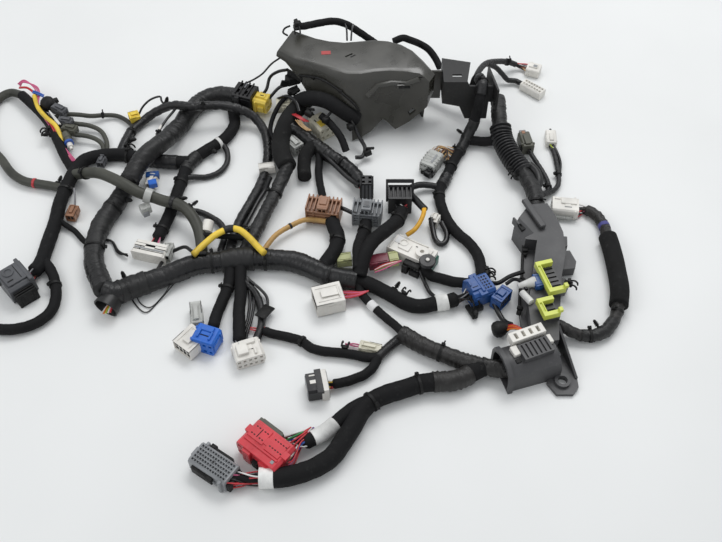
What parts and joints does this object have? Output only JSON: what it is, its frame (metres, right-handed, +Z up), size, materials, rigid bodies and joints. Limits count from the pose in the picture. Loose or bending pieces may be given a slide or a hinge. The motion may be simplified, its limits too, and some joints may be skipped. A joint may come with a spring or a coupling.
{
  "type": "vehicle dashboard wiring harness",
  "caption": "Dashboard wiring harness: taped looms, foam sleeves, connectors, hood cover, bracket, corrugated conduit and a cable duct with a bolt foot.",
  "frame": {"origin": "middle of the footprint, on the surface that the harness lies on", "axes": "+X along the harness's width, towards the cable duct; +Y towards the hood cover; +Z up from the surface"},
  "size_m": [0.9384, 0.7428, 0.1172],
  "materials": {
    "tape": "satin black wrapping tape",
    "foam": "matt black foam",
    "olive_tube": "matt dark olive",
    "yellow_sleeve": "satin yellow",
    "tan_sleeve": "satin tan",
    "conduit": "satin black",
    "hood": "satin grey-black with an olive cast",
    "bracket": "matt black",
    "duct": "matt dark grey",
    "retainer": "satin yellow-green",
    "white_plastic": "satin off-white",
    "cream_plastic": "satin cream",
    "clear_plastic": "cloudy natural plastic",
    "red_plastic": "satin red",
    "pin_grey": "satin mid grey",
    "blue_plastic": "satin blue",
    "bright_blue": "satin bright blue",
    "brown_plastic": "satin brown",
    "fin_grey": "satin grey",
    "dark_grey": "satin dark grey",
    "black_plastic": "satin black",
    "yellow_plastic": "satin yellow",
    "olive_plastic": "satin olive grey"
  },
  "bodies": {
    "harness": {"trunk_main": "tape", "trunk_blue": "tape", "trunk_right": "tape", "loom_left_inner": "tape", "loom_left_outer": "tape", "loom_upper_left": "tape", "loom_centre_drop": "tape", "loom_fan": "tape", "loom_hood": "tape", "loom_brown": "tape", "loom_grey_black": "tape", "loom_right_centre": "tape", "loom_duct": "tape", "loom_lower": "tape", "loom_drops": "tape", "foam_loop": "foam", "cable_return": "foam", "tube_olive": "olive_tube", "cable_left_loop": "tape", "cable_left_spurs": "tape", "cable_lower_left": "tape", "sleeve_yellow": "yellow_sleeve", "cable_tan": "tan_sleeve", "cable_upper_right": "tape", "cable_hood_top": "tape", "cable_right_cross": "tape", "cable_duct_leads": "tape", "cable_module": "tape", "cable_lower_centre": "tape", "conduit_corrugated": "conduit", "hood_cover": "hood", "bracket_plate": "bracket", "duct_channel": "duct", "retainer_upper": "retainer", "retainer_lower": "retainer", "fuse_frame": "white_plastic", "connector_red": "red_plastic", "connector_pin_grey": "pin_grey", "connector_blue": "blue_plastic", "connector_blue_lower": "bright_blue", "connector_white_lower": "white_plastic", "connector_black_tall": "black_plastic", "connector_cream": "cream_plastic", "relay_box": "black_plastic", "connector_yellow": "yellow_plastic", "connector_clear_right": "clear_plastic", "connector_white_upper": "white_plastic", "connector_white_pinned": "white_plastic", "connector_lead_olive": "olive_plastic", "connector_lead_white": "white_plastic", "connector_return": "white_plastic", "connector_left_grey": "dark_grey", "connector_left_end": "dark_grey", "connector_striped": "black_plastic", "connector_fan": "white_plastic", "connector_brown": "brown_plastic", "connector_grey_finned": "fin_grey", "connector_black_lever": "black_plastic", "module_white": "white_plastic"},
    "black_lever": {"lever_black": "black_plastic"}
  },
  "joints": [
    {"name": "lever_swing", "type": "hinge", "parent": "harness", "child": "black_lever", "pos_m": [0.17114, 0.0652, 0.0155], "axis": [1, 0, 0], "range_deg": [0, 80]}
  ]
}
